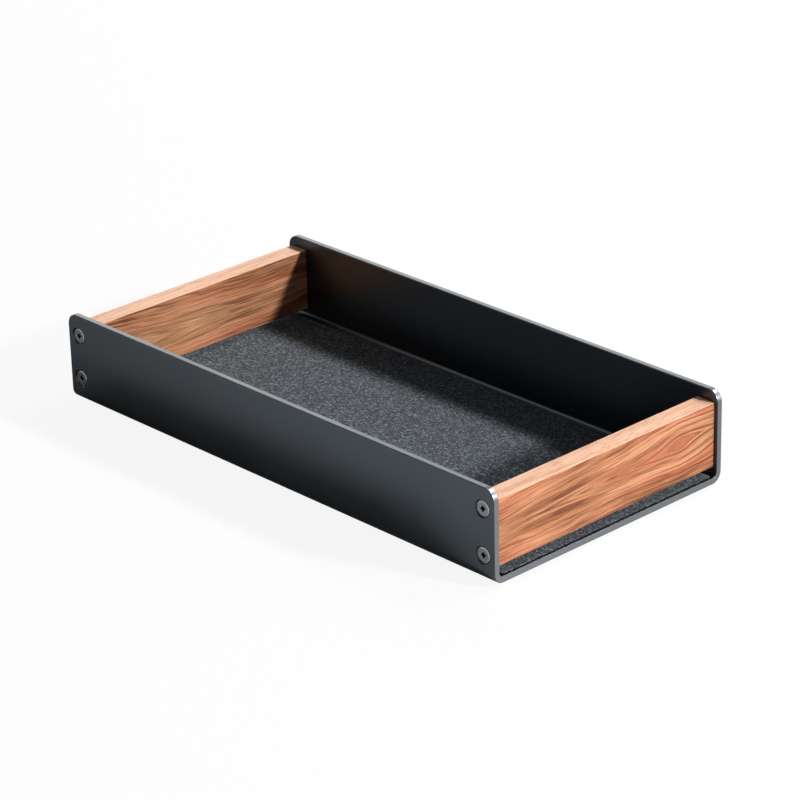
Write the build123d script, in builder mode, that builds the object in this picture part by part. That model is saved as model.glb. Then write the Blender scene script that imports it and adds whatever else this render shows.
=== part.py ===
from build123d import *
from math import radians, tan
import os

# Desk tray: a channel folded from one metal sheet, closed by two wooden end boards that are
# screwed in through its walls. A loose felt mat lies on the floor and slides out under the boards.
# X runs along the tray, Y across it from the front wall to the back wall, and Z up.
# The origin is under the middle of the tray, on the surface that its feet stand on.

# Folded channel, with its powder coat
tray_length = 250.0
tray_width = 126.2
wall_height = 39.0
sheet_thickness = 2.7
bend_inside_radius = 2.0
wall_corner_radius = 5.0
rim_round = 0.4

# Rubber feet stuck under the floor
foot_height = 1.5
foot_radius = 5.0
foot_inset = 16.0
foot_edge_chamfer = 0.4

# Wooden end boards, raised off the floor so that the mat can pass under them
board_thickness = 9.3
board_setback = 1.6
board_lift = 3.8
board_top_drop = 4.9
board_edge_round = 0.5

# Felt mat, cut a little smaller than the flat floor between the bends
felt_thickness = 0.6
felt_floor_clearance = 0.1
felt_bend_gap = 0.5
felt_end_gap = 0.9

# Countersunk wood screws with a cross recess
screw_radius = 1.75
screw_length = 16.0
screw_point_length = 3.0
screw_edge_distance = 4.25
head_radius = 3.2
head_rim_height = 0.25
recess_span = 3.1
recess_slot = 1.2
recess_depth = 1.5
recess_taper_angle = 10.0

# Countersunk holes in the walls and pilot holes in the boards
countersink_angle = 90.0
countersink_ring = 0.65
head_seat_clearance = 0.05
wall_hole_clearance = 0.25
pilot_clearance = 0.05
pilot_spare_depth = 1.0
cut_overrun = 1.0

# How far each screw's cross came to rest from upright, in degrees
screw_turns = {
    ("front", "left", "upper"): 8.0,
    ("front", "left", "lower"): 2.0,
    ("front", "right", "upper"): 4.0,
    ("front", "right", "lower"): 6.0,
    ("back", "left", "upper"): 31.0,
    ("back", "left", "lower"): -12.0,
    ("back", "right", "upper"): 17.0,
    ("back", "right", "lower"): -27.0,
}

# Which way each named side lies from the middle of the tray
ends = {"left": -1, "right": 1}
sides = {"front": -1, "back": 1}
levels = {"lower": -1, "upper": 1}

# Heights and half widths that follow from the sizes above
floor_top = foot_height + sheet_thickness
wall_top = foot_height + wall_height
outer_y = tray_width / 2
inner_y = outer_y - sheet_thickness
felt_length = tray_length - 2 * felt_end_gap
felt_width = 2 * (inner_y - bend_inside_radius - felt_bend_gap)
board_x = tray_length / 2 - board_setback - board_thickness / 2
board_bottom = floor_top + board_lift
board_height = wall_top - board_top_drop - board_bottom
board_middle = board_bottom + board_height / 2
screw_spacing = board_height - 2 * screw_edge_distance
foot_x = tray_length / 2 - foot_inset
foot_y = outer_y - foot_inset

# The head's cone lies parallel to its countersink, a seat clearance inside it
countersink_slope = tan(radians(countersink_angle / 2))
countersink_radius = head_radius + countersink_ring
head_cone_top = (countersink_ring - head_seat_clearance) / countersink_slope
head_cone_bottom = head_cone_top + (head_radius - screw_radius) / countersink_slope
head_top = head_cone_top - head_rim_height
screw_tip = head_top + screw_length
pilot_radius = screw_radius + pilot_clearance
pilot_depth = screw_tip + pilot_spare_depth - sheet_thickness

# Where a wall's outer face lies, looking at it from outside, at the height of the boards' middle
wall_faces = {
    side: Plane(origin=(0, sign * outer_y, board_middle), x_dir=(-sign, 0, 0), z_dir=(0, sign, 0))
    for side, sign in sides.items()
}

os.makedirs("parts", exist_ok=True)

# Channel: the inside line of the fold, thickened outwards by the sheet
with BuildPart() as channel:
    with BuildSketch(Plane.YZ):
        with BuildLine():
            FilletPolyline(
                (-inner_y, wall_top),
                (-inner_y, floor_top),
                (inner_y, floor_top),
                (inner_y, wall_top),
                radius=bend_inside_radius,
            )
            offset(amount=sheet_thickness, side=Side.RIGHT)
        make_face()
    extrude(amount=tray_length / 2, both=True)
    wall_corners = channel.edges().filter_by(Axis.Y).group_by(Axis.Z)[-1]
    fillet(wall_corners, wall_corner_radius)
    # The rounding runs on from the walls' tops round the corners, down the ends and along the floor
    rim = channel.edges().filter_by(Axis.X).group_by(Axis.Z)[-1]
    fillet(rim, rim_round)
    for wall_face in wall_faces.values():
        with Locations(wall_face):
            with GridLocations(2 * board_x, screw_spacing, 2, 2):
                CounterSinkHole(
                    radius=screw_radius + wall_hole_clearance,
                    counter_sink_radius=countersink_radius,
                    depth=sheet_thickness + cut_overrun,
                    counter_sink_angle=countersink_angle,
                )
channel.part.label = "tray_channel"
export_step(channel.part, "parts/tray_channel.step")

# End boards: each butts against both walls and has two pilot holes in each end grain
for end, end_sign in ends.items():
    with BuildPart() as board:
        with BuildSketch(Plane.YZ.offset(end_sign * board_x)):
            with Locations((0, board_middle)):
                Rectangle(2 * inner_y, board_height)
        extrude(amount=board_thickness / 2, both=True)
        fillet(board.edges().filter_by(Axis.Y), board_edge_round)
        for side, side_sign in sides.items():
            with Locations(wall_faces[side].offset(-sheet_thickness)):
                with Locations((-side_sign * end_sign * board_x, 0)):
                    with GridLocations(0, screw_spacing, 1, 2):
                        Hole(radius=pilot_radius, depth=pilot_depth)
    board.part.label = f"{end}_end_board"
    export_step(board.part, f"parts/{board.part.label}.step")

# Felt mat: lies on the floor between the bends and runs out under the boards to both open ends
with BuildPart() as felt:
    with BuildSketch(Plane.XY.offset(floor_top + felt_floor_clearance)):
        Rectangle(felt_length, felt_width)
    extrude(amount=felt_thickness)
felt.part.label = "felt_mat"
export_step(felt.part, "parts/felt_mat.step")

# Screws: a turned body with its cross recess, seated in the wall's countersink
for (side, end, level), turn in screw_turns.items():
    seat_x = -sides[side] * ends[end] * board_x
    seat_y = levels[level] * screw_spacing / 2
    seat = wall_faces[side].shift_origin(wall_faces[side].from_local_coords((seat_x, seat_y, 0)))
    with BuildPart() as screw:
        with BuildSketch(Plane(origin=seat.origin, x_dir=seat.x_dir, z_dir=-seat.y_dir)):
            with BuildLine():
                Polyline(
                    (0, -head_top),
                    (head_radius, -head_top),
                    (head_radius, -head_cone_top),
                    (screw_radius, -head_cone_bottom),
                    (screw_radius, screw_point_length - screw_tip),
                    (0, -screw_tip),
                    close=True,
                )
            make_face()
        revolve(axis=Axis(seat.origin, seat.z_dir))
        with BuildSketch(seat.offset(-head_top)):
            Rectangle(recess_span, recess_slot, rotation=turn)
            Rectangle(recess_slot, recess_span, rotation=turn)
        extrude(amount=-recess_depth, taper=recess_taper_angle, mode=Mode.SUBTRACT)
    screw.part.label = f"screw_{side}_{end}_{level}"
    export_step(screw.part, f"parts/{screw.part.label}.step")

# Feet: low discs with a chamfered lower edge, stuck to the floor's underside near its corners
for side, side_sign in sides.items():
    for end, end_sign in ends.items():
        with BuildPart() as foot:
            with BuildSketch(Plane.XY):
                with Locations((end_sign * foot_x, side_sign * foot_y)):
                    Circle(foot_radius)
            extrude(amount=foot_height)
            chamfer(foot.edges().group_by(Axis.Z)[0], foot_edge_chamfer)
        foot.part.label = f"foot_{side}_{end}"
        export_step(foot.part, f"parts/{foot.part.label}.step")
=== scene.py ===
"""Desk tray: the looks of its folded channel, wooden end boards, felt mat, screws and feet.

Lengths are metres in the frame of the solids: X along the tray, Y across it from the front wall to
the back wall, and Z up from the surface that the feet stand on. Finishes are laid out in millimetres.
"""

import logging
import math
from collections.abc import Sequence
from dataclasses import dataclass
from enum import Enum

import bpy
import numpy as np
from mathutils import Matrix, Vector


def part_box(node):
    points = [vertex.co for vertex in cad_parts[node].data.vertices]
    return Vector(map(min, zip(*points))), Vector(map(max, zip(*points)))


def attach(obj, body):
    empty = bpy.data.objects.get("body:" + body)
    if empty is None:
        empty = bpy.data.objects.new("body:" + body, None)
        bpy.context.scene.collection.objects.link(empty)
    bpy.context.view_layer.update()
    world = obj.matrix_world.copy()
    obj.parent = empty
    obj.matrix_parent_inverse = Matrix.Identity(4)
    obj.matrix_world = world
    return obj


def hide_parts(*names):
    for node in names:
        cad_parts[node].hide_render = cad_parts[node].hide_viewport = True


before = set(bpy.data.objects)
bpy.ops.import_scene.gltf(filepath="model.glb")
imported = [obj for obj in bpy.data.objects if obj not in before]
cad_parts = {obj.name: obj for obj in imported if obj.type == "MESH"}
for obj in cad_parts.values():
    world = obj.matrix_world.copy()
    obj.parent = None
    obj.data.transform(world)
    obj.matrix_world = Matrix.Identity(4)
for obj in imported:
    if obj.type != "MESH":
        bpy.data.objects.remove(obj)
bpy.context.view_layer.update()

MM = 0.001
LOG = logging.getLogger("desk_tray")

Color = tuple[float, float, float]
Triple = tuple[float, float, float]
Pair = tuple[float, float]
Stops = tuple[tuple[float, Color], ...]
Socket = bpy.types.NodeSocket
Input = Socket | float | tuple[float, ...]


class Body(Enum):
    """The bodies that the tray's new pieces ride on."""

    TRAY = "tray"
    MAT = "mat"


class Slot(Enum):
    """The record's material slots that the new pieces take their finish from."""

    FELT = "felt"
    STEEL = "screw_steel"


class Side(Enum):
    """The long walls, by the sign of their outward direction along Y."""

    FRONT = -1
    BACK = 1


class End(Enum):
    """The tray's ends, by the sign of their place along X."""

    LEFT = -1
    RIGHT = 1


class Level(Enum):
    """The two screws at a board's end, by the sign of their place along Z."""

    LOWER = -1
    UPPER = 1


Seat = tuple[Side, End, Level]


@dataclass(frozen=True)
class Clouds:
    """A cloudy pattern: its patches per millimetre along each axis, and how finely they break up."""

    per_mm: Triple
    detail: float = 2.0
    roughness: float = 0.5


@dataclass(frozen=True)
class Step:
    """A soft step: it rises from 0 at its start to its height at its end, which may be the lesser."""

    start: float
    end: float
    height: float = 1.0


class Graph:
    """A material's or world's node tree, with short calls that add nodes and join them."""

    # Nearly all of a cloudy pattern lies between these two values
    cloudy: Pair = (0.3, 0.7)

    def __init__(self, tree: bpy.types.NodeTree) -> None:
        """Empties the tree and keeps it."""
        self.tree = tree
        tree.nodes.clear()

    def node(
        self, kind: str, inputs: dict[str | int, Input] | None = None, **options: object
    ) -> bpy.types.Node:
        """Adds a node.

        Args:
            kind: The node's type name.
            inputs: A value or a socket to link, for each input that isn't left as it is.
            options: The node's own settings.

        Returns:
            The new node.
        """
        node = self.tree.nodes.new(kind)
        for name, value in options.items():
            setattr(node, name, value)
        for name, value in (inputs or {}).items():
            if isinstance(value, Socket):
                self.tree.links.new(value, node.inputs[name])
            else:
                node.inputs[name].default_value = value
        return node

    def math(self, operation: str, first: Input, second: Input = 0.0) -> Socket:
        """Returns a sum, product or other operation on two numbers."""
        return self.node("ShaderNodeMath", {0: first, 1: second}, operation=operation).outputs[0]

    def vector(self, operation: str, first: Input, second: Input) -> Socket:
        """Returns a sum, product or other operation on two vectors, part by part."""
        return self.node("ShaderNodeVectorMath", {0: first, 1: second}, operation=operation).outputs[0]

    def axes(self, vector: Socket) -> Sequence[Socket]:
        """Returns a vector's three parts."""
        return self.node("ShaderNodeSeparateXYZ", {0: vector}).outputs

    def normal(self) -> Sequence[Socket]:
        """Returns the three parts of the direction that the surface faces."""
        return self.axes(self.node("ShaderNodeNewGeometry").outputs["Normal"])

    def clouds(
        self, place: Socket, clouds: Clouds, centre: Triple = (0.0, 0.0, 0.0), turn: float = 0.0
    ) -> Socket:
        """Lays out a cloudy pattern.

        Args:
            place: The coordinates, in millimetres.
            clouds: The pattern.
            centre: The point, in millimetres, that becomes the pattern's origin.
            turn: How far the pattern is turned about Z, in radians.

        Returns:
            The pattern's value, from 0 to 1.
        """
        shifted = self.vector("SUBTRACT", place, centre)
        turned = self.node("ShaderNodeMapping", {"Vector": shifted, "Rotation": (0.0, 0.0, turn)})
        inputs = {
            "Vector": self.vector("MULTIPLY", turned.outputs[0], clouds.per_mm),
            "Scale": 1.0,
            "Detail": clouds.detail,
            "Roughness": clouds.roughness,
        }
        return self.node("ShaderNodeTexNoise", inputs).outputs[0]

    def step(self, value: Socket, step: Step) -> Socket:
        """Returns how far up a soft step a value lies."""
        inputs = {"Value": value, "From Min": step.start, "From Max": step.end, "To Max": step.height}
        return self.node("ShaderNodeMapRange", inputs, interpolation_type="SMOOTHSTEP").outputs[0]

    def spread(self, value: Socket, low: float, high: float) -> Socket:
        """Stretches a cloudy value.

        Args:
            value: The cloudy value.
            low: What its least becomes.
            high: What its greatest becomes.

        Returns:
            The stretched value.
        """
        least, greatest = self.cloudy
        inputs = {"Value": value, "From Min": least, "From Max": greatest, "To Min": low, "To Max": high}
        return self.node("ShaderNodeMapRange", inputs).outputs[0]

    def ramp(self, factor: Socket, stops: Stops) -> Socket:
        """Lays out an eased run of colours.

        Args:
            factor: How far along the run a point lies.
            stops: The run's colours, each after its place along the run.

        Returns:
            The colour at the point.
        """
        node = self.node("ShaderNodeValToRGB", {0: factor})
        node.color_ramp.interpolation = "EASE"
        elements = node.color_ramp.elements
        while len(elements) < len(stops):
            elements.new(1.0)
        for element, (position, color) in zip(elements, stops):
            element.position = position
            element.color = (*color, 1.0)
        return node.outputs[0]

    def mix(self, factor: Input, first: Input, second: Input, blend: str = "MIX") -> Socket:
        """Returns two colours mixed by a factor."""
        inputs = {0: factor, 6: self.opaque(first), 7: self.opaque(second)}
        return self.node("ShaderNodeMix", inputs, data_type="RGBA", blend_type=blend).outputs[2]

    def bump(self, height: Socket, depth: float, strength: float) -> Socket:
        """Returns normals that follow a height from 0 to 1, whose full depth is in metres."""
        inputs = {"Height": height, "Distance": depth, "Strength": strength}
        return self.node("ShaderNodeBump", inputs).outputs[0]

    @staticmethod
    def opaque(color: Input) -> Input:
        """Returns a colour with its alpha, or a socket as it is."""
        return color if isinstance(color, Socket) else (*color, 1.0)


@dataclass(frozen=True, kw_only=True)
class Finish:
    """A surface finish: its name, and how its shader's inputs are made."""

    name: str

    def inputs(self, graph: Graph, place: Socket) -> dict[str, Input]:
        """Lays out the patterns of the finish.

        Args:
            graph: The material's nodes.
            place: The coordinates, in millimetres.

        Returns:
            The shader's inputs.
        """
        raise NotImplementedError

    def material(self) -> bpy.types.Material:
        """Makes a material of the finish.

        Returns:
            The new material, whose patterns lie in the piece's own coordinates.
        """
        material = bpy.data.materials.new(self.name)
        material.use_nodes = True
        graph = Graph(material.node_tree)
        coordinates = graph.node("ShaderNodeTexCoord").outputs["Object"]
        place = graph.vector("MULTIPLY", coordinates, (1 / MM,) * 3)
        shader = graph.node("ShaderNodeBsdfPrincipled", self.inputs(graph, place))
        graph.node("ShaderNodeOutputMaterial", {"Surface": shader.outputs[0]})
        return material


@dataclass(frozen=True, kw_only=True)
class PowderCoat(Finish):
    """Satin anthracite powder coat with a fine orange peel.

    It is greyer and lighter on the faces where the sheet was cut, as painted light and highlight, and
    rubbed off where the sheet's edge turns the walls' round corners. It leaves the countersinks as bare
    metal darkened as painted shade. The seat is the screws' distance along the tray, their middle height
    and their rise from it. Depths are below a face.
    """

    half_length: float
    wall_top: float
    outer_y: float
    seat: Triple
    name: str = "satin_powder_coat"
    speckle: Stops = ((0.35, (0.0032, 0.0036, 0.0044)), (0.75, (0.0070, 0.0078, 0.0092)))
    # Painted light: the cut end faces and cut upper edges are lighter than the coat, standing in for the
    # light and highlights they catch
    painted_end_light: Color = (0.100, 0.103, 0.107)
    painted_top_highlight: Color = (0.032, 0.030, 0.026)
    cut_depths: Pair = (0.12, 0.02)
    bare: Color = (0.42, 0.43, 0.45)
    corner_round: float = 5.0
    corner_wear: Step = Step(0.1, 0.8, 0.8)
    edge_turn: Step = Step(0.9, 0.6)
    # Painted shade: the countersinks' metal is darkened, standing in for the shadowed gap round each head
    painted_seat_shade: Color = (0.040, 0.041, 0.043)
    seat_radius: float = 3.85
    seat_blur: float = 0.2
    seat_depths: Pair = (0.05, 0.2)
    peel: Clouds = Clouds((1.6, 1.6, 1.6), 3.0)
    grit: Clouds = Clouds((5.0, 5.0, 5.0), 1.0)
    grit_relief: float = 0.25
    peel_depth: float = 0.012 * MM
    peel_strength: float = 0.5
    dullness: Clouds = Clouds((0.03, 0.03, 0.03))
    roughness: Pair = (0.28, 0.34)
    gloss_tint: Color = (0.70, 0.86, 1.0)

    def inputs(self, graph: Graph, place: Socket) -> dict[str, Input]:
        """Lays out the coat's speckle, its cut and worn edges and its countersinks.

        Args:
            graph: The material's nodes.
            place: The coordinates, in millimetres.

        Returns:
            The shader's inputs.
        """
        axes = graph.axes(place)
        along = graph.math("ABSOLUTE", axes[0])
        grit = graph.clouds(place, self.grit)
        relief = graph.math("MULTIPLY", grit, self.grit_relief)
        relief = graph.math("ADD", graph.clouds(place, self.peel), relief)
        corners = self._worn_corners(graph, along, axes[2])
        seats = self._screw_seats(graph, along, axes)
        color = graph.ramp(grit, self.speckle)
        # Painted light: the cut upper edges and cut end faces are made lighter, standing in for the light
        # and highlights they catch
        color = graph.mix(self._near(graph, axes[2], self.wall_top, self.cut_depths), color, self.painted_top_highlight)
        color = graph.mix(self._near(graph, along, self.half_length, self.cut_depths), color, self.painted_end_light)
        color = graph.mix(corners, color, self.bare)
        # Painted shade: the countersinks are darkened, standing in for the shadowed gap round each head
        color = graph.mix(seats, color, self.painted_seat_shade)
        return {
            "Base Color": color,
            "Metallic": graph.math("MAXIMUM", seats, corners),
            "Roughness": graph.spread(graph.clouds(place, self.dullness), *self.roughness),
            "IOR": 1.75,
            "Specular Tint": graph.opaque(self.gloss_tint),
            "Normal": graph.bump(relief, self.peel_depth, self.peel_strength),
        }

    def _screw_seats(self, graph: Graph, along: Socket, axes: Sequence[Socket]) -> Socket:
        """Finds the countersinks, which lie alike at both ends, sides and levels.

        Args:
            graph: The material's nodes.
            along: The distance from the tray's middle, along it.
            axes: The three coordinates.

        Returns:
            1 in a countersink and 0 elsewhere.
        """
        seat_x, seat_z, seat_rise = self.seat
        from_middle = graph.math("ABSOLUTE", graph.math("SUBTRACT", axes[2], seat_z))
        aside = graph.math("SUBTRACT", along, seat_x)
        above = graph.math("SUBTRACT", from_middle, seat_rise)
        place = graph.node("ShaderNodeCombineXYZ", {0: aside, 1: above}).outputs[0]
        radius = graph.node("ShaderNodeVectorMath", {0: place}, operation="LENGTH").outputs["Value"]
        inside = graph.step(radius, Step(self.seat_radius + self.seat_blur, self.seat_radius))
        across = graph.math("ABSOLUTE", axes[1])
        return graph.math("MULTIPLY", self._near(graph, across, self.outer_y, self.seat_depths), inside)

    def _worn_corners(self, graph: Graph, along: Socket, height: Socket) -> Socket:
        """Finds the sheet's edge where it turns the walls' round corners.

        Args:
            graph: The material's nodes.
            along: The distance from the tray's middle, along it.
            height: The height above the desk.

        Returns:
            How far the coat is rubbed off, from 0 to 1.
        """
        aside = graph.math("SUBTRACT", along, self.half_length - self.corner_round)
        above = graph.math("SUBTRACT", height, self.wall_top - self.corner_round)
        turn = graph.math("MULTIPLY", graph.math("MAXIMUM", aside, 0.0), graph.math("MAXIMUM", above, 0.0))
        turn = graph.math("DIVIDE", turn, self.corner_round ** 2 / 2)
        rubbed = graph.step(turn, self.corner_wear)
        outward = graph.math("ABSOLUTE", graph.normal()[1])
        return graph.math("MULTIPLY", rubbed, graph.step(outward, self.edge_turn))

    @staticmethod
    def _near(graph: Graph, distance: Socket, face: float, depths: Pair) -> Socket:
        """Returns a soft step between two depths below a face, which lies at a distance along an axis."""
        return graph.step(distance, Step(face - depths[0], face - depths[1]))


@dataclass(frozen=True)
class BoardCut:
    """How a board was sawn from its log, in millimetres.

    The grain closes in an eye about a point of the board's face, swells beside it, and runs into
    arches on both sides of it. The arches narrow by a share of the way along the board, less and
    less past the fade length, and the whole figure leans up by a share along the board. The start
    is where along the log the board was sawn, and the tone is its own cast.
    """

    start: float
    eye: Triple
    run_share: float
    fade: float
    lean_share: float
    tone: Color
    eye_size: float = 1.2
    eye_length: float = 2.4
    depth_share: float = 0.3


@dataclass(frozen=True, kw_only=True)
class Walnut(Finish):
    """Oiled walnut: bands, fine lines and pores that follow the grain, and upper edges painted paler as
    painted light.

    Broad streaks of it have a reddish or a golden cast, and a narrow dark line ends each year's ring.
    """

    cut: BoardCut
    wood: Stops = (
        (0.40, (0.576, 0.271, 0.149)),
        (0.495, (0.387, 0.154, 0.077)),
        (0.60, (0.133, 0.040, 0.0175)),
    )
    # Painted light: paler colours for the upper edges, standing in for the stronger light that falls on
    # them
    top_light_stops: Stops = (
        (0.41, (0.95, 0.610, 0.420)),
        (0.50, (0.89, 0.515, 0.340)),
        (0.61, (0.72, 0.386, 0.242)),
    )
    cast: Stops = ((0.36, (1.0, 0.89, 0.86)), (0.64, (1.0, 1.11, 1.05)))
    late: Color = (0.133, 0.040, 0.0175)
    pore: Color = (0.11, 0.038, 0.018)
    bands: Clouds = Clouds((0.13, 0.012, 0.3), 1.0)
    lines: Clouds = Clouds((1.1, 0.020, 0.6), 2.0, 0.6)
    fine: Clouds = Clouds((2.4, 0.045, 0.9), 2.0, 0.6)
    tone_shares: Triple = (0.30, 0.28, 0.42)
    streaks: Clouds = Clouds((0.16, 0.010, 0.3), 1.0)
    streaks_centre: Triple = (37.0, 0.0, 0.0)
    fibres: Clouds = Clouds((2.4, 0.06, 2.4), 3.0, 0.7)
    fibre_relief: float = 0.5
    pores: Clouds = Clouds((6.0, 0.30, 6.0), 2.0, 0.6)
    pore_edge: Step = Step(0.62, 0.74, 0.6)
    top_light_step: Step = Step(0.35, 0.95)
    roughness: Pair = (0.46, 0.60)
    relief_depth: float = 0.05 * MM
    relief_strength: float = 0.35
    drift: Clouds = Clouds((0.06, 0.018, 0.06))
    drift_height: float = 1.1
    ripple: Clouds = Clouds((0.5, 0.11, 0.5))
    ripple_height: float = 0.12
    arch_power: float = 1.25
    ring: float = 2.5
    ring_shake: Pair = (-0.4, 0.4)
    ring_drift: Pair = (-0.1, 1.9)
    line_start: Step = Step(0.70, 0.93)
    line_end: Step = Step(1.0, 0.95)
    line_in_bands: Step = Step(0.25, 0.55, 0.5)
    line_by_eye: Step = Step(50.0, 15.0, 0.9)

    def inputs(self, graph: Graph, place: Socket) -> dict[str, Input]:
        """Lays out the wood's tones, casts, rings and pores.

        Args:
            graph: The material's nodes.
            place: The coordinates, in millimetres.

        Returns:
            The shader's inputs.
        """
        grain = self._grain(graph, place)
        layers = [graph.clouds(grain, pattern) for pattern in (self.bands, self.lines, self.fine)]
        parts = [graph.math("MULTIPLY", layer, share) for layer, share in zip(layers, self.tone_shares)]
        tone = graph.math("ADD", graph.math("ADD", parts[0], parts[1]), parts[2])
        cast = graph.ramp(graph.clouds(grain, self.streaks, self.streaks_centre), self.cast)
        wood = graph.mix(1.0, graph.ramp(tone, self.wood), self.cut.tone, "MULTIPLY")
        wood = graph.mix(1.0, wood, cast, "MULTIPLY")
        wood = graph.mix(self._late_wood(graph, grain, layers[1], layers[0]), wood, self.late)
        # Painted light: upward faces take the paler colours, standing in for the stronger light on the top
        # edges
        upward = graph.step(graph.normal()[2], self.top_light_step)
        wood = graph.mix(upward, wood, graph.ramp(tone, self.top_light_stops))
        pores = graph.step(graph.clouds(place, self.pores), self.pore_edge)
        fibres = graph.clouds(place, self.fibres)
        relief = graph.math("SUBTRACT", self._part(graph, fibres, self.fibre_relief), pores)
        return {
            "Base Color": graph.mix(pores, wood, self.pore),
            "Roughness": graph.spread(fibres, *self.roughness),
            "Specular IOR Level": 0.2,
            "Normal": graph.bump(relief, self.relief_depth, self.relief_strength),
        }

    def _grain(self, graph: Graph, place: Socket) -> Socket:
        """Bends the coordinates so that they follow the grain.

        Args:
            graph: The material's nodes.
            place: The coordinates, in millimetres.

        Returns:
            How far out in the rings a point lies, how far along the log, and how deep in the board.
        """
        drift = graph.clouds(place, self.drift, self.cut.eye)
        ripple = graph.clouds(place, self.ripple)
        depth, along, height = graph.axes(graph.vector("SUBTRACT", place, self.cut.eye))
        height = graph.math("ADD", height, graph.spread(drift, -self.drift_height, self.drift_height))
        height = graph.math("ADD", height, graph.spread(ripple, -self.ripple_height, self.ripple_height))
        height = graph.math("SUBTRACT", height, self._part(graph, along, self.cut.lean_share))
        reach = self._root(graph, along, self.cut.eye_length)
        faded = graph.math("ADD", self._part(graph, reach, 1.0 / self.cut.fade), 1.0)
        run = graph.math("DIVIDE", self._part(graph, reach, self.cut.run_share), faded)
        swell = graph.math("ADD", run, self.cut.eye_size)
        sunk = self._part(graph, graph.math("ABSOLUTE", depth), self.cut.depth_share)
        out = self._root(graph, height, graph.math("ADD", swell, sunk), self.arch_power)
        along_log = graph.math("ADD", along, self.cut.start)
        return graph.node("ShaderNodeCombineXYZ", {0: out, 1: along_log, 2: depth}).outputs[0]

    def _late_wood(self, graph: Graph, grain: Socket, lines: Socket, bands: Socket) -> Socket:
        """Draws the narrow dark line that ends each ring, with rings of uneven width.

        Args:
            graph: The material's nodes.
            grain: The coordinates that follow the grain.
            lines: The pattern of fine lines, which shakes the rings a little.
            bands: The pattern of bands, which widens and narrows them.

        Returns:
            How dark the line is: plain near the eye, and faint in places elsewhere.
        """
        out, along_log, _ = graph.axes(grain)
        out = graph.math("ADD", out, graph.spread(lines, *self.ring_shake))
        out = graph.math("ADD", out, graph.spread(bands, *self.ring_drift))
        year = graph.math("FRACT", graph.math("DIVIDE", out, self.ring))
        line = graph.math("MULTIPLY", graph.step(year, self.line_start), graph.step(year, self.line_end))
        from_eye = graph.math("ABSOLUTE", graph.math("SUBTRACT", along_log, self.cut.start))
        by_eye = graph.step(from_eye, self.line_by_eye)
        strength = graph.math("MAXIMUM", graph.step(bands, self.line_in_bands), by_eye)
        return graph.math("MULTIPLY", line, strength)

    @staticmethod
    def _part(graph: Graph, value: Input, share: float) -> Socket:
        """Returns a share of a value."""
        return graph.math("MULTIPLY", value, share)

    @staticmethod
    def _root(graph: Graph, first: Socket, second: Input, power: float = 2.0) -> Socket:
        """Adds up two numbers' powers and takes the root.

        Args:
            graph: The material's nodes.
            first: A number of either sign.
            second: A number above 0.
            power: The power, which gives a plain length where it is 2.

        Returns:
            The root.
        """
        first = graph.math("POWER", graph.math("ABSOLUTE", first), power)
        second = graph.math("POWER", second, power)
        return graph.math("POWER", graph.math("ADD", first, second), 1.0 / power)


@dataclass(frozen=True, kw_only=True)
class Felt(Finish):
    """Pressed charcoal felt, black on its lower part.

    Dark wool is flecked with short pale fibres, in layers that are each turned another way.
    """

    lower_black_top: float
    name: str = "charcoal_felt"
    wool: Stops = ((0.36, (0.0075, 0.011, 0.0145)), (0.64, (0.037, 0.046, 0.056)))
    hair: Color = (0.30, 0.355, 0.415)
    lower_black: Color = (0.004, 0.004, 0.004)
    lower_black_blur: float = 0.04
    tufts: Clouds = Clouds((0.8, 0.8, 0.8), 3.0, 0.7)
    fibres: Clouds = Clouds((0.5, 2.4, 2.4), 1.0)
    turns: tuple[float, ...] = (0.3, 1.4, 2.5)
    shift_per_turn: float = 40.0
    hair_edge: Step = Step(0.60, 0.74, 0.8)
    hair_relief: float = 0.6
    relief_depth: float = 0.25 * MM
    relief_strength: float = 0.7

    def inputs(self, graph: Graph, place: Socket) -> dict[str, Input]:
        """Lays out the felt's tufts, stray fibres and black lower part.

        Args:
            graph: The material's nodes.
            place: The coordinates, in millimetres.

        Returns:
            The shader's inputs.
        """
        tufts = graph.clouds(place, self.tufts)
        hairs = self._hairs(graph, place)
        wool = graph.mix(graph.step(hairs, self.hair_edge), graph.ramp(tufts, self.wool), self.hair)
        # The mat is black below a height, which shows as a dark line along its cut edges
        below = Step(self.lower_black_top + self.lower_black_blur, self.lower_black_top)
        relief = graph.math("ADD", tufts, graph.math("MULTIPLY", hairs, self.hair_relief))
        return {
            "Base Color": graph.mix(graph.step(graph.axes(place)[2], below), wool, self.lower_black),
            "Roughness": 0.95,
            "Specular IOR Level": 0.15,
            "Sheen Weight": 0.15,
            "Sheen Roughness": 0.5,
            "Normal": graph.bump(relief, self.relief_depth, self.relief_strength),
        }

    def _hairs(self, graph: Graph, place: Socket) -> Socket:
        """Lays fibres that are turned several ways over each other.

        Args:
            graph: The material's nodes.
            place: The coordinates, in millimetres.

        Returns:
            How much of a stray fibre lies at a point.
        """
        centres = [(self.shift_per_turn * turn, 0.0, 0.0) for turn in self.turns]
        layers = [graph.clouds(place, self.fibres, *laid) for laid in zip(centres, self.turns)]
        strongest = layers[0]
        for layer in layers[1:]:
            strongest = graph.math("MAXIMUM", strongest, layer)
        return strongest


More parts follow.
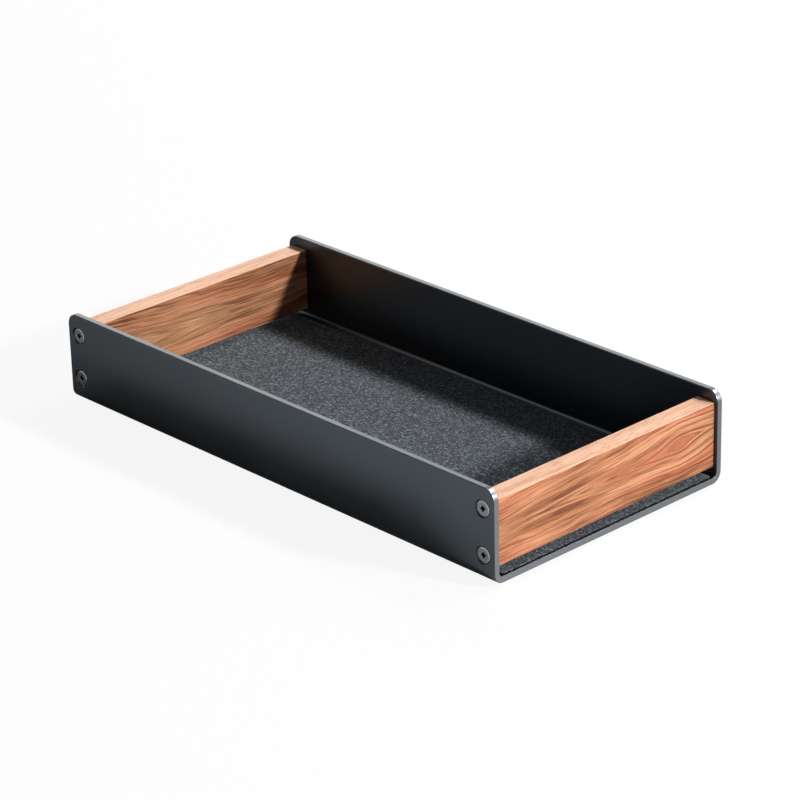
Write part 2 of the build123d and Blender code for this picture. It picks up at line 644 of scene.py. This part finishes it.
@dataclass(frozen=True, kw_only=True)
class ScrewSteel(Finish):
    """Plated steel with turning marks round the head.

    It is brighter on the worn rim, and painted black as painted shade in the recess and below the rim. All
    of this follows the screw's own map, which holds the distance from its axis and the depth below its
    top.
    """

    name: str = "dark_plated_steel"
    map_name: str = "head_map"
    plating: Stops = ((0.3, (0.142, 0.150, 0.157)), (0.7, (0.265, 0.277, 0.29)))
    worn: Color = (0.50, 0.51, 0.52)
    painted_recess_shade: Color = (0.006, 0.006, 0.007)
    patches: Clouds = Clouds((3.0, 3.0, 3.0), 3.0)
    marks: Clouds = Clouds((7.0, 7.0, 7.0), 2.0, 0.7)
    rim: Step = Step(2.8, 3.0)
    recess_reach: Step = Step(2.2, 1.9)
    recess_depth: Step = Step(0.06, 0.16)
    below_rim: Step = Step(0.28, 0.42)
    roughness: Pair = (0.22, 0.30)
    marks_depth: float = 0.01 * MM
    marks_strength: float = 0.4

    def inputs(self, graph: Graph, place: Socket) -> dict[str, Input]:
        """Lays out the plating, the turning marks, the rim and the painted shade in the recess and below
        the rim.

        Args:
            graph: The material's nodes.
            place: The coordinates, in millimetres.

        Returns:
            The shader's inputs.
        """
        radius, depth, _ = graph.axes(graph.node("ShaderNodeUVMap", uv_map=self.map_name).outputs[0])
        turned = graph.node("ShaderNodeCombineXYZ", {0: radius}).outputs[0]
        patches = graph.clouds(place, self.patches)
        plated = graph.mix(graph.step(radius, self.rim), graph.ramp(patches, self.plating), self.worn)
        recess = graph.step(depth, self.recess_depth)
        recess = graph.math("MULTIPLY", recess, graph.step(radius, self.recess_reach))
        sunk = graph.math("MAXIMUM", recess, graph.step(depth, self.below_rim))
        return {
            # Painted shade: the recess and the cone below the rim are black, standing in for the shadow
            # inside them
            "Base Color": graph.mix(sunk, plated, self.painted_recess_shade),
            "Metallic": 1.0,
            "Roughness": graph.spread(patches, *self.roughness),
            "Normal": graph.bump(graph.clouds(turned, self.marks), self.marks_depth, self.marks_strength),
        }


@dataclass(frozen=True, kw_only=True)
class Rubber(Finish):
    """Matt black moulded rubber with a fine spark texture and a little dust."""

    name: str = "moulded_rubber"
    dusty: Stops = ((0.4, (0.012, 0.012, 0.013)), (0.8, (0.035, 0.034, 0.033)))
    dust: Clouds = Clouds((0.5, 0.5, 0.5), 3.0)
    spark: Clouds = Clouds((7.0, 7.0, 7.0))
    roughness: Pair = (0.75, 0.9)
    spark_depth: float = 0.03 * MM
    spark_strength: float = 0.5

    def inputs(self, graph: Graph, place: Socket) -> dict[str, Input]:
        """Lays out the rubber's dust and texture.

        Args:
            graph: The material's nodes.
            place: The coordinates, in millimetres.

        Returns:
            The shader's inputs.
        """
        dust = graph.clouds(place, self.dust)
        spark = graph.clouds(place, self.spark)
        return {
            "Base Color": graph.ramp(dust, self.dusty),
            "Roughness": graph.spread(dust, *self.roughness),
            "Specular IOR Level": 0.35,
            "Normal": graph.bump(spark, self.spark_depth, self.spark_strength),
        }


class Bench:
    """The modelling moves that the new pieces share."""

    @staticmethod
    def clear() -> None:
        """Deselects everything, so that an operator acts on the new piece alone."""
        if bpy.context.mode != "OBJECT":
            bpy.ops.object.mode_set(mode="OBJECT")
        bpy.ops.object.select_all(action="DESELECT")

    @staticmethod
    def select(piece: bpy.types.Object) -> None:
        """Makes one piece the selected and active one.

        Args:
            piece: The piece.
        """
        Bench.clear()
        piece.select_set(True)
        bpy.context.view_layer.objects.active = piece

    @staticmethod
    def started(name: str) -> bpy.types.Object:
        """Names the primitive that was just added.

        Args:
            name: The piece's name, which its mesh gets too.

        Returns:
            The new piece.
        """
        piece = bpy.context.object
        piece.name = name
        piece.data.name = name
        return piece

    @staticmethod
    def settle(piece: bpy.types.Object) -> None:
        """Puts a piece's place, turn and scale into its mesh."""
        Bench.select(piece)
        bpy.ops.object.transform_apply(location=True, rotation=True, scale=True)

    @staticmethod
    def modify(piece: bpy.types.Object, kind: str, **settings: object) -> None:
        """Adds a modifier and applies it.

        Args:
            piece: The piece.
            kind: The modifier's type name.
            settings: The modifier's own settings.
        """
        Bench.select(piece)
        modifier = piece.modifiers.new(kind.lower(), kind)
        for name, value in settings.items():
            setattr(modifier, name, value)
        bpy.ops.object.modifier_apply(modifier=modifier.name)

    @staticmethod
    def ease(piece: bpy.types.Object, width: float, degrees: float) -> None:
        """Rounds a piece's edges that are sharper than an angle."""
        limit = math.radians(degrees)
        Bench.modify(piece, "BEVEL", width=width, segments=2, limit_method="ANGLE", angle_limit=limit)

    @staticmethod
    def outward(piece: bpy.types.Object, merge: float) -> None:
        """Merges a piece's doubles and turns its faces outwards.

        Args:
            piece: The piece.
            merge: The distance under which two points are one.
        """
        Bench.select(piece)
        bpy.ops.object.mode_set(mode="EDIT")
        bpy.ops.mesh.select_all(action="SELECT")
        bpy.ops.mesh.remove_doubles(threshold=merge)
        bpy.ops.mesh.normals_make_consistent(inside=False)
        bpy.ops.object.mode_set(mode="OBJECT")

    @staticmethod
    def smooth(piece: bpy.types.Object, degrees: float) -> None:
        """Shades a piece smooth, apart from edges sharper than an angle."""
        Bench.select(piece)
        bpy.ops.object.shade_smooth_by_angle(angle=math.radians(degrees))


def dress(piece: bpy.types.Object, material: bpy.types.Material) -> None:
    """Gives a piece one material all over and reports it.

    Args:
        piece: A new piece, a solid's node or the floor.
        material: The material.
    """
    if not piece.material_slots:
        piece.data.materials.append(material)
    for slot in piece.material_slots:
        slot.material = material
    LOG.info("%s: %d faces, %s", piece.name, len(piece.data.polygons), material.name)


@dataclass
class Channel:
    """The folded sheet: its floor and both walls are one solid, and it keeps its own shape."""

    node: str = "tray_channel"

    def build(self) -> None:
        """Dresses the channel in its powder coat, fitted to its faces and countersinks."""
        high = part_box(self.node)[1] / MM
        coat = PowderCoat(half_length=high.x, wall_top=high.z, outer_y=high.y, seat=self._seat())
        dress(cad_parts[self.node], coat.material())

    def _seat(self) -> Triple:
        """Measures where the screws sit.

        Returns:
            Their distance along the tray, their middle height and their rise from it, in millimetres.
        """
        nodes = ("screw_back_right_upper", "screw_back_right_lower")
        upper, lower = (sum(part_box(node), Vector()) / 2 for node in nodes)
        return upper.x / MM, (upper.z + lower.z) / 2 / MM, (upper.z - lower.z) / 2 / MM


@dataclass
class EndBoards:
    """The two walnut boards, each sawn from its own part of the log.

    An eye is given by its place along the board and its depth below the board's top, in millimetres.
    """

    left_eye: Pair = (-62.0, 15.4)
    right_eye: Pair = (40.0, 10.8)

    def cuts(self) -> dict[End, BoardCut]:
        """Lays out the figure of each board.

        Returns:
            Each board's cut, with its eye on the face towards the right, which shows most.
        """
        return {
            End.LEFT: BoardCut(
                start=1507.0,
                eye=self._eye(End.LEFT, self.left_eye),
                run_share=0.22,
                fade=50.0,
                lean_share=0.0,
                tone=(0.98, 1.07, 1.11),
            ),
            End.RIGHT: BoardCut(
                start=137.0,
                eye=self._eye(End.RIGHT, self.right_eye),
                run_share=0.20,
                fade=35.0,
                lean_share=0.045,
                tone=(1.0, 0.945, 0.93),
            ),
        }

    def build(self) -> None:
        """Dresses each board in its own cut of walnut."""
        for end, cut in self.cuts().items():
            finish = Walnut(name=f"walnut_{end.name.lower()}", cut=cut)
            dress(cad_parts[self._node(end)], finish.material())

    def _eye(self, end: End, eye: Pair) -> Triple:
        """Returns the point of an eye on a board's face, in millimetres."""
        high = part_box(self._node(end))[1] / MM
        return high.x, eye[0], high.z - eye[1]

    @staticmethod
    def _node(end: End) -> str:
        """Returns the name of a board's node."""
        return f"{end.name.lower()}_end_board"


@dataclass
class FeltMat:
    """The loose mat on the floor, cut from pressed felt and a little uneven all over.

    The pile is how deep the wool reaches above the black lower part, in millimetres.
    """

    name: str = "pressed_felt_mat"
    node: str = "felt_mat"
    floor_node: str = "tray_channel"
    mesh_step: float = 2.0 * MM
    corner_round: float = 0.8 * MM
    corner_steps: int = 4
    edge_round: float = 0.12 * MM
    sharp_edge: float = 60.0
    sharp_look: float = 40.0
    pile: float = 0.2
    unevenness: float = 0.06 * MM
    patch: float = 9.0 * MM

    def build(self) -> None:
        low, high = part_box(self.node)
        size = high - low
        mat = self._sheet(low, high)
        self._thicken(mat, size.z - self.unevenness)
        dress(mat, Felt(lower_black_top=high.z / MM - self.pile).material())
        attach(mat, Body.MAT.value)
        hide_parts(self.node)

    def _sheet(self, low: Vector, high: Vector) -> bpy.types.Object:
        """Lays out the mat's underside as a fine grid with rounded corners.

        Args:
            low: The least corner of the solid's box.
            high: The greatest corner of the solid's box.

        Returns:
            The mat, still without thickness.
        """
        size = high - low
        Bench.clear()
        bpy.ops.mesh.primitive_grid_add(
            x_subdivisions=round(size.x / self.mesh_step),
            y_subdivisions=round(size.y / self.mesh_step),
            size=1.0,
            location=(0.0, 0.0, low.z),
        )
        mat = Bench.started(self.name)
        mat.scale = (size.x, size.y, 1.0)
        Bench.settle(mat)
        corner = Vector((high.x, high.y))
        for vertex in mat.data.vertices:
            away = Vector((abs(vertex.co.x), abs(vertex.co.y)))
            vertex.select = (corner - away).length < self.corner_round
        bpy.ops.object.mode_set(mode="EDIT")
        bpy.ops.mesh.bevel(offset=self.corner_round, segments=self.corner_steps, affect="VERTICES")
        bpy.ops.object.mode_set(mode="OBJECT")
        return mat

    def _thicken(self, mat: bpy.types.Object, thickness: float) -> None:
        """Gives the sheet its thickness, eased edges and uneven upper face.

        Args:
            mat: The mat.
            thickness: Its thickness where it is thinnest.
        """
        Bench.modify(mat, "SOLIDIFY", thickness=thickness, offset=1.0)
        Bench.ease(mat, self.edge_round, self.sharp_edge)
        clouds = bpy.data.textures.new("felt_patches", "CLOUDS")
        clouds.noise_scale = self.patch
        Bench.modify(
            mat,
            "DISPLACE",
            texture=clouds,
            texture_coords="LOCAL",
            direction="Z",
            mid_level=0.0,
            strength=self.unevenness,
        )
        Bench.smooth(mat, self.sharp_look)


@dataclass
class ScrewSet:
    """Eight countersunk wood screws: modelled once, then copied to each seat.

    The turns are how far each screw's cross came to rest from upright, in degrees.
    """

    turns: dict[Seat, float]
    model_node: str = "screw_front_left_upper"
    around: int = 64
    head_rim: float = 0.25 * MM
    rim_round: float = 0.45 * MM
    rim_steps: int = 4
    shank_radius: float = 1.75 * MM
    core_radius: float = 1.15 * MM
    point_length: float = 3.0 * MM
    tip_share: float = 0.02
    thread_start: float = 4.375 * MM
    thread_pitch: float = 1.4 * MM
    steps_per_pitch: int = 10
    crest_power: int = 3
    recess_span: float = 3.1 * MM
    recess_slot: float = 1.2 * MM
    recess_depth: float = 1.5 * MM
    recess_foot_share: float = 0.625
    pit_drop_share: float = 0.35
    edge_round: float = 0.1 * MM
    sharp_edge: float = 35.0
    merge: float = 0.002 * MM

    def build(self) -> None:
        """Models one screw and places a copy of its mesh in every countersink."""
        steel = ScrewSteel()
        material = steel.material()
        first = self._model(steel.map_name)
        for seat, turn in self.turns.items():
            place = "_".join(part.name.lower() for part in seat)
            node = f"screw_{place}"
            mesh = first.data.copy()
            mesh.transform(self._seat(node, seat[0], turn))
            screw = bpy.data.objects.new(f"countersunk_screw_{place}", mesh)
            mesh.name = screw.name
            bpy.context.scene.collection.objects.link(screw)
            dress(screw, material)
            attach(screw, Body.TRAY.value)
            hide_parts(node)
        bpy.data.objects.remove(first)

    def _seat(self, node: str, side: Side, turn: float) -> Matrix:
        """Finds a screw's seat.

        Args:
            node: The screw's solid.
            side: The wall that it is in.
            turn: How far its cross is turned from upright, in degrees.

        Returns:
            The move from the modelling place, head up at the origin, into the countersink.
        """
        low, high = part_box(node)
        middle = (low + high) / 2
        outer_y = high.y if side is Side.BACK else low.y
        across = Vector((-side.value, 0.0, 0.0))
        outward = Vector((0.0, side.value, 0.0))
        upward = outward.cross(across)
        axes = Matrix((across, upward, outward)).transposed().to_4x4()
        place = Matrix.Translation((middle.x, outer_y, middle.z))
        return place @ axes @ Matrix.Rotation(math.radians(turn), 4, "Z")

    def _model(self, map_name: str) -> bpy.types.Object:
        """Models one screw with its head up at the origin.

        Args:
            map_name: The name of the map that its finish follows.

        Returns:
            The screw, threaded and mapped.
        """
        low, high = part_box(self.model_node)
        screw = self._turned((high.x - low.x) / 2, high.y - low.y)
        for quarter in (0, 1):
            self._cut(screw, self._recess_arm(quarter))
        self._cut(screw, self._recess_pit())
        Bench.outward(screw, self.merge)
        Bench.ease(screw, self.edge_round, self.sharp_edge)
        self._thread(screw)
        self._map_head(screw, map_name)
        Bench.smooth(screw, self.sharp_edge)
        return screw

    def _turned(self, head_radius: float, length: float) -> bpy.types.Object:
        """Turns the screw's body: a disc extruded down the rounded rim, cone, shank and point.

        Args:
            head_radius: The head's greatest radius.
            length: The whole screw's length.

        Returns:
            The body, with its head up at the origin.
        """
        Bench.clear()
        radius = head_radius - self.rim_round
        bpy.ops.mesh.primitive_circle_add(vertices=self.around, radius=radius, fill_type="NGON")
        screw = Bench.started("turned_screw")
        bpy.ops.object.mode_set(mode="EDIT")
        for depth, next_radius in self._profile(head_radius, length):
            bpy.ops.mesh.extrude_region_move(TRANSFORM_OT_translate={"value": (0.0, 0.0, -depth)})
            share = next_radius / radius
            bpy.ops.transform.resize(value=(share, share, 1.0))
            radius = next_radius
        bpy.ops.object.mode_set(mode="OBJECT")
        Bench.outward(screw, self.merge)
        return screw

    def _profile(self, head_radius: float, length: float) -> list[Pair]:
        """Works out the steps from the head's flat top down to the tip.

        Args:
            head_radius: The head's greatest radius.
            length: The whole screw's length.

        Returns:
            How far down each step goes, and the radius that it ends at.
        """
        cone = head_radius - self.shank_radius
        shank = length - self.head_rim - cone - self.point_length
        step = self.thread_pitch / self.steps_per_pitch
        steps = round(shank / step)
        point_steps = round(self.point_length / step)
        turns = [count * math.pi / 2 / self.rim_steps for count in range(self.rim_steps + 1)]
        profile = [
            (
                self.head_rim * (math.cos(last) - math.cos(turn)),
                head_radius - self.rim_round * (1 - math.sin(turn)),
            )
            for last, turn in zip(turns, turns[1:])
        ]
        profile += [(cone, self.shank_radius)]
        profile += [(shank / steps, self.shank_radius)] * steps
        profile += [
            (
                self.point_length / point_steps,
                self.shank_radius * max(1 - count / point_steps, self.tip_share),
            )
            for count in range(1, point_steps + 1)
        ]
        return profile

    def _recess_arm(self, quarter: int) -> bpy.types.Object:
        """Models one tapered arm of the cross.

        Args:
            quarter: How many quarter turns it is turned by.

        Returns:
            The arm, as a form to cut with.
        """
        Bench.clear()
        bpy.ops.mesh.primitive_cube_add(size=1.0)
        arm = Bench.started("recess_arm")
        arm.scale = (self.recess_span, self.recess_slot, 2 * self.recess_depth)
        arm.rotation_euler.z = quarter * math.pi / 2
        Bench.settle(arm)
        for vertex in arm.data.vertices:
            share = 1.0 if vertex.co.z > 0 else self.recess_foot_share
            vertex.co.x *= share
            vertex.co.y *= share
        return arm

    def _recess_pit(self) -> bpy.types.Object:
        """Models the pointed pit in the middle of the cross.

        Returns:
            The pit, as a form to cut with.
        """
        Bench.clear()
        bpy.ops.mesh.primitive_cone_add(
            vertices=self.around // 2,
            radius1=0.0,
            radius2=self.recess_slot,
            depth=2 * self.recess_depth,
            location=(0.0, 0.0, -self.pit_drop_share * self.recess_depth),
        )
        pit = Bench.started("recess_pit")
        Bench.settle(pit)
        return pit

    @staticmethod
    def _cut(screw: bpy.types.Object, cutter: bpy.types.Object) -> None:
        """Cuts one form out of the screw and removes it."""
        Bench.modify(screw, "BOOLEAN", operation="DIFFERENCE", object=cutter, solver="EXACT")
        bpy.data.objects.remove(cutter)

    def _thread(self, screw: bpy.types.Object) -> None:
        """Sinks the shank between the turns of a thread that runs out into the point.

        Args:
            screw: The turned screw.
        """
        mesh = screw.data
        points = np.empty(len(mesh.vertices) * 3)
        mesh.vertices.foreach_get("co", points)
        points = points.reshape(-1, 3)
        radius = np.hypot(points[:, 0], points[:, 1])
        angle = np.arctan2(points[:, 1], points[:, 0])
        on_shank = (points[:, 2] < -self.thread_start) & (radius > self.edge_round)
        turns = points[:, 2] / self.thread_pitch - angle / (2 * math.pi)
        crest = np.abs((turns % 1.0) * 2 - 1) ** self.crest_power
        depth = (1 - crest) * (1 - self.core_radius / self.shank_radius)
        share = np.where(on_shank, 1 - depth, 1.0)
        points[:, 0] *= share
        points[:, 1] *= share
        mesh.vertices.foreach_set("co", points.ravel())
        mesh.update()

    @staticmethod
    def _map_head(screw: bpy.types.Object, map_name: str) -> None:
        """Maps the screw by its distance from its axis and its depth, in millimetres.

        Args:
            screw: The screw, with its head up at the origin.
            map_name: The map's name.
        """
        mesh = screw.data
        layer = mesh.uv_layers.new(name=map_name)
        for loop in mesh.loops:
            point = mesh.vertices[loop.vertex_index].co
            layer.data[loop.index].uv = (point.xy.length / MM, -point.z / MM)


@dataclass
class Feet:
    """Four rubber discs under the floor, which keep their own shape."""

    def build(self) -> None:
        """Dresses the feet in rubber."""
        rubber = Rubber().material()
        for side in Side:
            for end in End:
                dress(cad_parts[f"foot_{side.name.lower()}_{end.name.lower()}"], rubber)


@dataclass(frozen=True)
class Lamp:
    """A soft rectangular lamp that faces the tray, with its long sides level.

    Its radiance is that of a white surface where it is 1.
    """

    name: str
    place: Triple
    length: float
    width: float
    radiance: float

    def build(self) -> None:
        """Adds the lamp."""
        Bench.clear()
        bpy.ops.object.light_add(type="AREA", location=self.place)
        lamp = bpy.context.object
        lamp.name = self.name
        lamp.rotation_euler = Vector(self.place).to_track_quat("Z", "Y").to_euler()
        lamp.data.shape = "RECTANGLE"
        lamp.data.size = self.length
        lamp.data.size_y = self.width
        lamp.data.energy = math.pi * self.length * self.width * self.radiance


@dataclass
class Studio:
    """A pale floor, soft lamps, a white surround and the camera.

    In reflections alone, the floor is shaded between two distances along a direction, and the
    surround is dim overhead. The camera's angles are in degrees, and its offset moves it to the
    right and up from the line to the tray.
    """

    lamps: tuple[Lamp, ...] = (
        Lamp("side_lamp", (3.40, 1.23, 1.70), 0.35, 0.35, 510.0),
        Lamp("top_lamp", (0.46, 1.84, 2.30), 1.2, 0.25, 34.0),
        Lamp("back_lamp", (-1.07, 1.0, 0.66), 1.0, 0.8, 1.7),
    )
    floor_side: float = 20.0
    floor_color: Color = (0.93, 0.93, 0.93)
    floor_white_share: float = 0.90
    shade_color: Color = (0.0, 0.0, 0.0)
    shade_toward: Triple = (1.0, -2.0, 0.0)
    shade: Step = Step(0.286, -0.034, 0.55)
    surround_color: Color = (1.0, 1.0, 1.0)
    fill: float = 0.14
    dim_overhead: Step = Step(0.42, 0.60, 0.8)
    azimuth: float = 46.931
    elevation: float = 23.999
    roll: float = -1.408
    distance: float = 1338.143 * MM
    offset: Pair = (5.488 * MM, 15.427 * MM)
    aim_height: float = 1.5 * MM
    lens: float = 147.834
    sensor: float = 36.0
    clip_start: float = 10.0 * MM

    def build(self) -> None:
        """Sets up the floor, the surround, the lamps and the camera."""
        bpy.context.scene.view_settings.view_transform = "Standard"
        self._floor()
        self._surround()
        for lamp in self.lamps:
            lamp.build()
        self._camera()

    def _floor(self) -> None:
        """Lays the floor.

        It is white to the camera where it is lit, keeps a soft shadow, and is clear from below.
        Reflections show it darker towards the left and towards the tray.
        """
        Bench.clear()
        bpy.ops.mesh.primitive_plane_add(size=self.floor_side)
        floor = Bench.started("studio_floor")
        material = bpy.data.materials.new("pale_floor")
        material.use_nodes = True
        graph = Graph(material.node_tree)
        rays = graph.node("ShaderNodeLightPath").outputs
        geometry = graph.node("ShaderNodeNewGeometry").outputs
        ahead = {0: geometry["Position"], 1: self.shade_toward}
        along = graph.node("ShaderNodeVectorMath", ahead, operation="DOT_PRODUCT").outputs["Value"]
        shaded = graph.math("MULTIPLY", rays["Is Glossy Ray"], graph.step(along, self.shade))
        color = graph.mix(shaded, self.floor_color, self.shade_color)
        paint = graph.node("ShaderNodeBsdfDiffuse", {"Color": color}).outputs[0]
        white = graph.node("ShaderNodeEmission", {"Strength": 1.0}).outputs[0]
        share = graph.math("MULTIPLY", rays["Is Camera Ray"], self.floor_white_share)
        seen = graph.node("ShaderNodeMixShader", {0: share, 1: paint, 2: white}).outputs[0]
        clear = graph.node("ShaderNodeBsdfTransparent").outputs[0]
        below = geometry["Backfacing"]
        shown = graph.node("ShaderNodeMixShader", {0: below, 1: seen, 2: clear}).outputs[0]
        graph.node("ShaderNodeOutputMaterial", {"Surface": shown})
        dress(floor, material)

    def _surround(self) -> None:
        """Makes the surround white to the camera, dimmer overhead in reflections, and dim as a light."""
        world = bpy.data.worlds.new("white_surround")
        bpy.context.scene.world = world
        world.use_nodes = True
        graph = Graph(world.node_tree)
        rays = graph.node("ShaderNodeLightPath").outputs
        height = graph.axes(graph.node("ShaderNodeTexCoord").outputs["Generated"])[2]
        bright = graph.math("SUBTRACT", 1.0, graph.step(height, self.dim_overhead))
        mirrored = graph.math("MULTIPLY", rays["Is Glossy Ray"], bright)
        seen = graph.math("MAXIMUM", rays["Is Camera Ray"], rays["Is Transmission Ray"])
        strength = graph.math("MAXIMUM", graph.math("MAXIMUM", seen, mirrored), self.fill)
        white = {"Color": graph.opaque(self.surround_color), "Strength": strength}
        background = graph.node("ShaderNodeBackground", white)
        graph.node("ShaderNodeOutputWorld", {"Surface": background.outputs[0]})

    def _camera(self) -> None:
        """Sets the camera at the viewing angle, a little rolled, with the tray off its axis."""
        azimuth, elevation, roll = (math.radians(x) for x in (self.azimuth, self.elevation, self.roll))
        level = math.cos(elevation)
        back = Vector((math.sin(azimuth) * level, -math.cos(azimuth) * level, math.sin(elevation)))
        level_right = Vector((math.cos(azimuth), math.sin(azimuth), 0.0))
        level_up = back.cross(level_right)
        right = level_right * math.cos(roll) + level_up * math.sin(roll)
        up = level_up * math.cos(roll) - level_right * math.sin(roll)
        place = back * self.distance + right * self.offset[0] + up * self.offset[1]
        place.z += self.aim_height
        axes = Matrix((right, up, back)).transposed().to_4x4()
        Bench.clear()
        bpy.ops.object.camera_add()
        camera = bpy.context.object
        camera.name = "photo_camera"
        camera.matrix_world = Matrix.Translation(place) @ axes
        camera.data.sensor_fit = "HORIZONTAL"
        camera.data.sensor_width = self.sensor
        camera.data.lens = self.lens
        camera.data.clip_start = self.clip_start
        bpy.context.scene.camera = camera


SCREW_TURNS: dict[Seat, float] = {
    (Side.FRONT, End.LEFT, Level.UPPER): 8.0,
    (Side.FRONT, End.LEFT, Level.LOWER): 2.0,
    (Side.FRONT, End.RIGHT, Level.UPPER): 4.0,
    (Side.FRONT, End.RIGHT, Level.LOWER): 6.0,
    (Side.BACK, End.LEFT, Level.UPPER): 31.0,
    (Side.BACK, End.LEFT, Level.LOWER): -12.0,
    (Side.BACK, End.RIGHT, Level.UPPER): 17.0,
    (Side.BACK, End.RIGHT, Level.LOWER): -27.0,
}


def main() -> None:
    """Builds the studio and the tray's sub-assemblies in order."""
    logging.basicConfig(level=logging.INFO, format="%(name)s: %(message)s")
    for part in (Studio(), Channel(), EndBoards(), FeltMat(), ScrewSet(SCREW_TURNS), Feet()):
        LOG.info("building %s", type(part).__name__)
        part.build()


if __name__ == "__main__":
    main()
